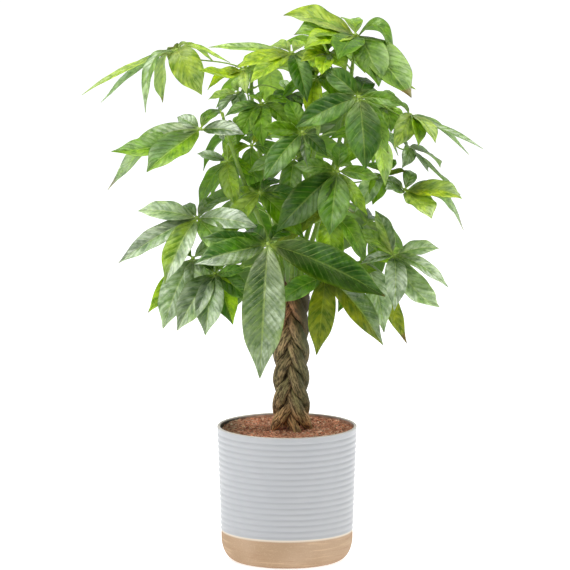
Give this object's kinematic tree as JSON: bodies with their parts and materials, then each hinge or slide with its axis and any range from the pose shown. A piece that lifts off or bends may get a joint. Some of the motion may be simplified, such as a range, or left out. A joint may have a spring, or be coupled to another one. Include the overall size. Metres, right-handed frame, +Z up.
{
  "type": "potted money tree",
  "caption": "House plant: a braided money tree with palmate leaves, standing in soil in a ribbed round ceramic pot with a bare clay foot.",
  "frame": {"origin": "middle of the pot's flat underside", "axes": "+Z up along the pot's axis; the front of the plant, as the picture shows it, looks along -Y; +X to the right of that view"},
  "size_m": [0.657, 0.4399, 0.9217],
  "materials": {
    "pot": "satin white glaze on the ribbed side, bare tan clay below the glaze line",
    "soil": "coarse reddish-brown bark and coir potting mix",
    "bark": "grey-brown bark with paler ridges",
    "stem": "smooth green young stem",
    "leaf": "glossy green leaf with pinnate veins"
  },
  "bodies": {
    "root": {"pot": "pot", "soil": "soil", "trunk_1": "bark", "trunk_2": "bark", "trunk_3": "bark", "trunk_4": "bark", "trunk_5": "bark", "stem_1": "stem", "stem_2": "stem", "stem_3": "stem", "stem_4": "stem", "stem_5": "stem", "leaf_front_low": "leaf", "leaf_front_high": "leaf", "leaf_front_centre": "leaf", "leaf_top": "leaf", "leaf_right_mid": "leaf", "leaf_right_high": "leaf", "leaf_right_arm": "leaf", "leaf_left_top": "leaf", "leaf_left_shoulder": "leaf", "leaf_left_mid": "leaf", "leaf_left_low": "leaf", "leaf_right_low": "leaf", "leaf_heart": "leaf", "leaf_low_centre": "leaf", "leaf_low_right": "leaf", "leaf_low_left": "leaf", "leaf_left_inner": "leaf", "leaf_shoulder_low": "leaf", "leaf_shoulder_small": "leaf", "leaf_back_top": "leaf", "leaf_back_high": "leaf", "leaf_back_left": "leaf", "leaf_back_right": "leaf", "leaf_back_middle": "leaf", "leaf_back_low": "leaf", "leaf_back_low_left": "leaf", "leaf_back_low_right": "leaf", "leaf_back_foot": "leaf", "leaf_side_left": "leaf", "leaf_inner_left": "leaf", "leaf_inner_middle": "leaf", "leaf_inner_top": "leaf", "leaf_inner_low": "leaf", "leaf_inner_right": "leaf", "leaf_inner_foot": "leaf", "leaf_top_front": "leaf", "leaf_right_shoulder": "leaf", "leaf_right_inner": "leaf", "leaf_left_arm": "leaf", "leaf_low_inner": "leaf", "leaf_crown_left": "leaf"}
  },
  "joints": []
}
